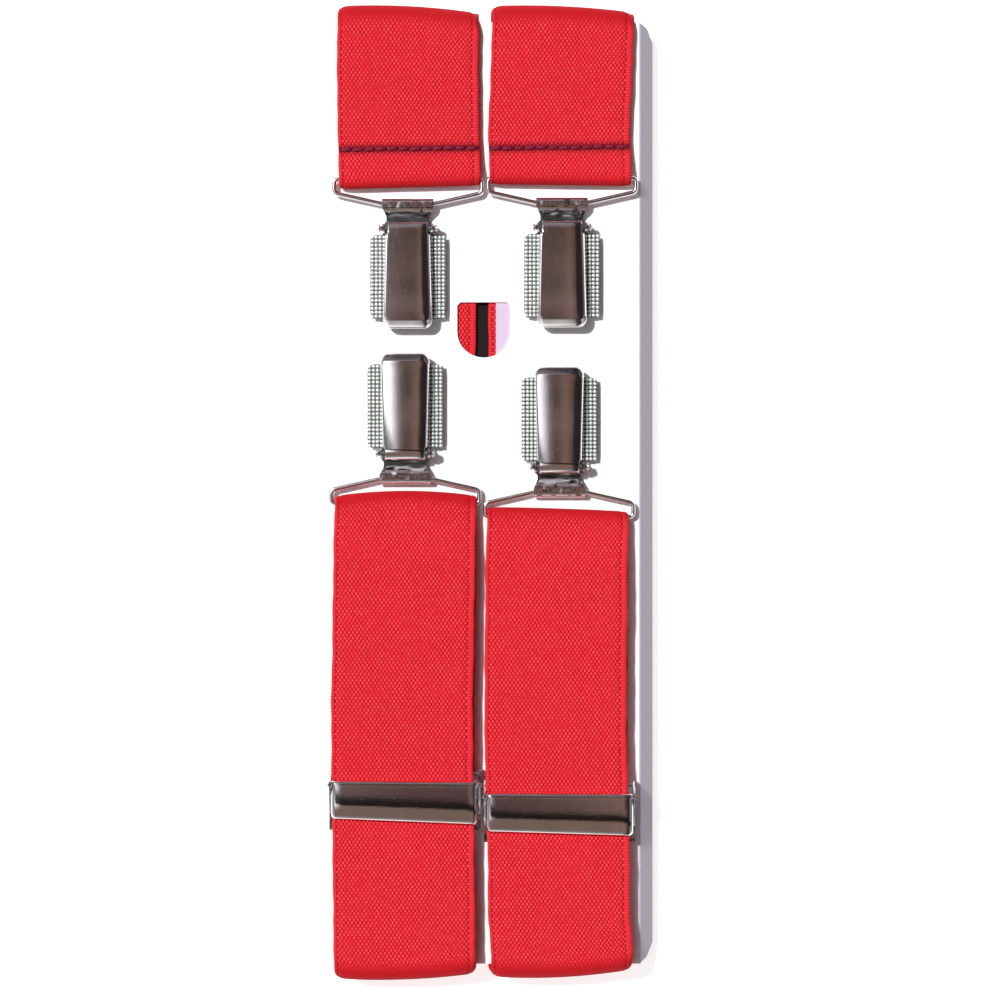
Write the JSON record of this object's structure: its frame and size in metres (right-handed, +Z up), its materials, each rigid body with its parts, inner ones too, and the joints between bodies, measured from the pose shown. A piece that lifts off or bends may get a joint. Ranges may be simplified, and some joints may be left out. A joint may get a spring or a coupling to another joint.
{
  "type": "suspenders",
  "caption": "Elastic webbing trouser suspenders with a crossed back, chromed lever clips on wire loops and sliding hinged adjusters, folded flat as for display.",
  "frame": {"origin": "centre of the folded pair's footprint, on the surface it lies on", "axes": "+Y along the straps from the front ends' fold to the back ends' fold, +X across the pair, +Z up through the stack towards the clips"},
  "size_m": [0.0747, 0.2354, 0.0149],
  "materials": {
    "webbing": "woven elastic webbing, satin",
    "thread": "twisted sewing thread",
    "leather": "grained, semi-matt",
    "wire": "plated drawn wire",
    "sheet_chrome": "plated pressed sheet",
    "lever_chrome": "polished plating with fine scratches",
    "mirror_chrome": "mirror-polished plating",
    "pin_steel": "plated pin"
  },
  "bodies": {
    "straps": {"left_strap": "webbing", "right_strap": "webbing", "left_strap_return": "webbing", "right_strap_return": "webbing", "patch_outer": "leather", "patch_inner": "leather", "patch_seam": "thread", "back_left_stitches": "thread", "back_right_stitches": "thread"},
    "back_left_loop": {"back_left_wire_loop": "wire"},
    "back_left_clip": {"back_left_clip_back": "sheet_chrome", "back_left_clip_pin": "pin_steel"},
    "back_left_lever": {"back_left_clip_lever": "lever_chrome"},
    "back_left_jaw": {"back_left_clip_jaw": "sheet_chrome"},
    "back_right_loop": {"back_right_wire_loop": "wire"},
    "back_right_clip": {"back_right_clip_back": "sheet_chrome", "back_right_clip_pin": "pin_steel"},
    "back_right_lever": {"back_right_clip_lever": "lever_chrome"},
    "back_right_jaw": {"back_right_clip_jaw": "sheet_chrome"},
    "front_left_loop": {"front_left_wire_loop": "wire"},
    "front_left_clip": {"front_left_clip_back": "sheet_chrome", "front_left_clip_pin": "pin_steel"},
    "front_left_lever": {"front_left_clip_lever": "lever_chrome"},
    "front_left_jaw": {"front_left_clip_jaw": "sheet_chrome"},
    "front_right_loop": {"front_right_wire_loop": "wire"},
    "front_right_clip": {"front_right_clip_back": "sheet_chrome", "front_right_clip_pin": "pin_steel"},
    "front_right_lever": {"front_right_clip_lever": "lever_chrome"},
    "front_right_jaw": {"front_right_clip_jaw": "sheet_chrome"},
    "left_adjuster": {"left_adjuster_frame": "sheet_chrome", "left_adjuster_hinge_pin": "pin_steel", "left_adjuster_anchor_bar": "wire", "front_left_stitches": "thread"},
    "left_adjuster_lever": {"left_adjuster_cover": "mirror_chrome"},
    "right_adjuster": {"right_adjuster_frame": "sheet_chrome", "right_adjuster_hinge_pin": "pin_steel", "right_adjuster_anchor_bar": "wire", "front_right_stitches": "thread"},
    "right_adjuster_lever": {"right_adjuster_cover": "mirror_chrome"}
  },
  "joints": [
    {"name": "back_left_loop_swing", "type": "hinge", "parent": "straps", "child": "back_left_loop", "pos_m": [-0.01835, 0.0754, 0.0096], "axis": [-1, 0, 0], "range_deg": [0, 100]},
    {"name": "back_left_clip_swing", "type": "hinge", "parent": "back_left_loop", "child": "back_left_clip", "pos_m": [-0.01835, 0.0696, 0.0096], "axis": [-1, 0, 0], "range_deg": [0, 70]},
    {"name": "back_left_lever_turn", "type": "hinge", "parent": "back_left_clip", "child": "back_left_lever", "pos_m": [-0.01835, 0.0634, 0.0115], "axis": [1, 0, 0], "range_deg": [-110, 0]},
    {"name": "back_left_jaw_open", "type": "hinge", "parent": "back_left_clip", "child": "back_left_jaw", "pos_m": [-0.01835, 0.0634, 0.0115], "axis": [1, 0, 0], "range_deg": [-14.3, 0]},
    {"name": "back_right_loop_swing", "type": "hinge", "parent": "straps", "child": "back_right_loop", "pos_m": [0.01885, 0.0757, 0.0096], "axis": [-1, 0, 0], "range_deg": [0, 100]},
    {"name": "back_right_clip_swing", "type": "hinge", "parent": "back_right_loop", "child": "back_right_clip", "pos_m": [0.01885, 0.0699, 0.0096], "axis": [-1, 0, 0], "range_deg": [0, 70]},
    {"name": "back_right_lever_turn", "type": "hinge", "parent": "back_right_clip", "child": "back_right_lever", "pos_m": [0.01885, 0.0637, 0.0115], "axis": [1, 0, 0], "range_deg": [-110, 0]},
    {"name": "back_right_jaw_open", "type": "hinge", "parent": "back_right_clip", "child": "back_right_jaw", "pos_m": [0.01885, 0.0637, 0.0115], "axis": [1, 0, 0], "range_deg": [-14.3, 0]},
    {"name": "front_left_loop_swing", "type": "hinge", "parent": "straps", "child": "front_left_loop", "pos_m": [-0.019, -0.0028, 0.0096], "axis": [1, 0, 0], "range_deg": [0, 100]},
    {"name": "front_left_clip_swing", "type": "hinge", "parent": "front_left_loop", "child": "front_left_clip", "pos_m": [-0.019, 0.003, 0.0096], "axis": [1, 0, 0], "range_deg": [0, 70]},
    {"name": "front_left_lever_turn", "type": "hinge", "parent": "front_left_clip", "child": "front_left_lever", "pos_m": [-0.019, 0.0092, 0.0115], "axis": [-1, 0, 0], "range_deg": [-110, 0]},
    {"name": "front_left_jaw_open", "type": "hinge", "parent": "front_left_clip", "child": "front_left_jaw", "pos_m": [-0.019, 0.0092, 0.0115], "axis": [-1, 0, 0], "range_deg": [-14.3, 0]},
    {"name": "front_right_loop_swing", "type": "hinge", "parent": "straps", "child": "front_right_loop", "pos_m": [0.0182, -0.006, 0.0096], "axis": [1, 0, 0], "range_deg": [0, 100]},
    {"name": "front_right_clip_swing", "type": "hinge", "parent": "front_right_loop", "child": "front_right_clip", "pos_m": [0.0182, -0.0002, 0.0096], "axis": [1, 0, 0], "range_deg": [0, 70]},
    {"name": "front_right_lever_turn", "type": "hinge", "parent": "front_right_clip", "child": "front_right_lever", "pos_m": [0.0182, 0.006, 0.0115], "axis": [-1, 0, 0], "range_deg": [-110, 0]},
    {"name": "front_right_jaw_open", "type": "hinge", "parent": "front_right_clip", "child": "front_right_jaw", "pos_m": [0.0182, 0.006, 0.0115], "axis": [-1, 0, 0], "range_deg": [-14.3, 0]},
    {"name": "left_adjuster_slide", "type": "slide", "parent": "straps", "child": "left_adjuster", "axis": [0, -1, 0], "range_m": [-0.04, 0.028], "deforming": ["left_strap_return"]},
    {"name": "left_adjuster_cover_turn", "type": "hinge", "parent": "left_adjuster", "child": "left_adjuster_lever", "pos_m": [-0.019, -0.0704, 0.0137], "axis": [-1, 0, 0], "range_deg": [0, 100]},
    {"name": "right_adjuster_slide", "type": "slide", "parent": "straps", "child": "right_adjuster", "axis": [0, -1, 0], "range_m": [-0.04, 0.028], "deforming": ["right_strap_return"]},
    {"name": "right_adjuster_cover_turn", "type": "hinge", "parent": "right_adjuster", "child": "right_adjuster_lever", "pos_m": [0.0182, -0.0733, 0.0137], "axis": [-1, 0, 0], "range_deg": [0, 100]}
  ],
  "couplings": [
    {"joint": "back_left_jaw_open", "follows": "back_left_lever_turn", "ratio": 0.13},
    {"joint": "back_right_jaw_open", "follows": "back_right_lever_turn", "ratio": 0.13},
    {"joint": "front_left_jaw_open", "follows": "front_left_lever_turn", "ratio": 0.13},
    {"joint": "front_right_jaw_open", "follows": "front_right_lever_turn", "ratio": 0.13}
  ]
}
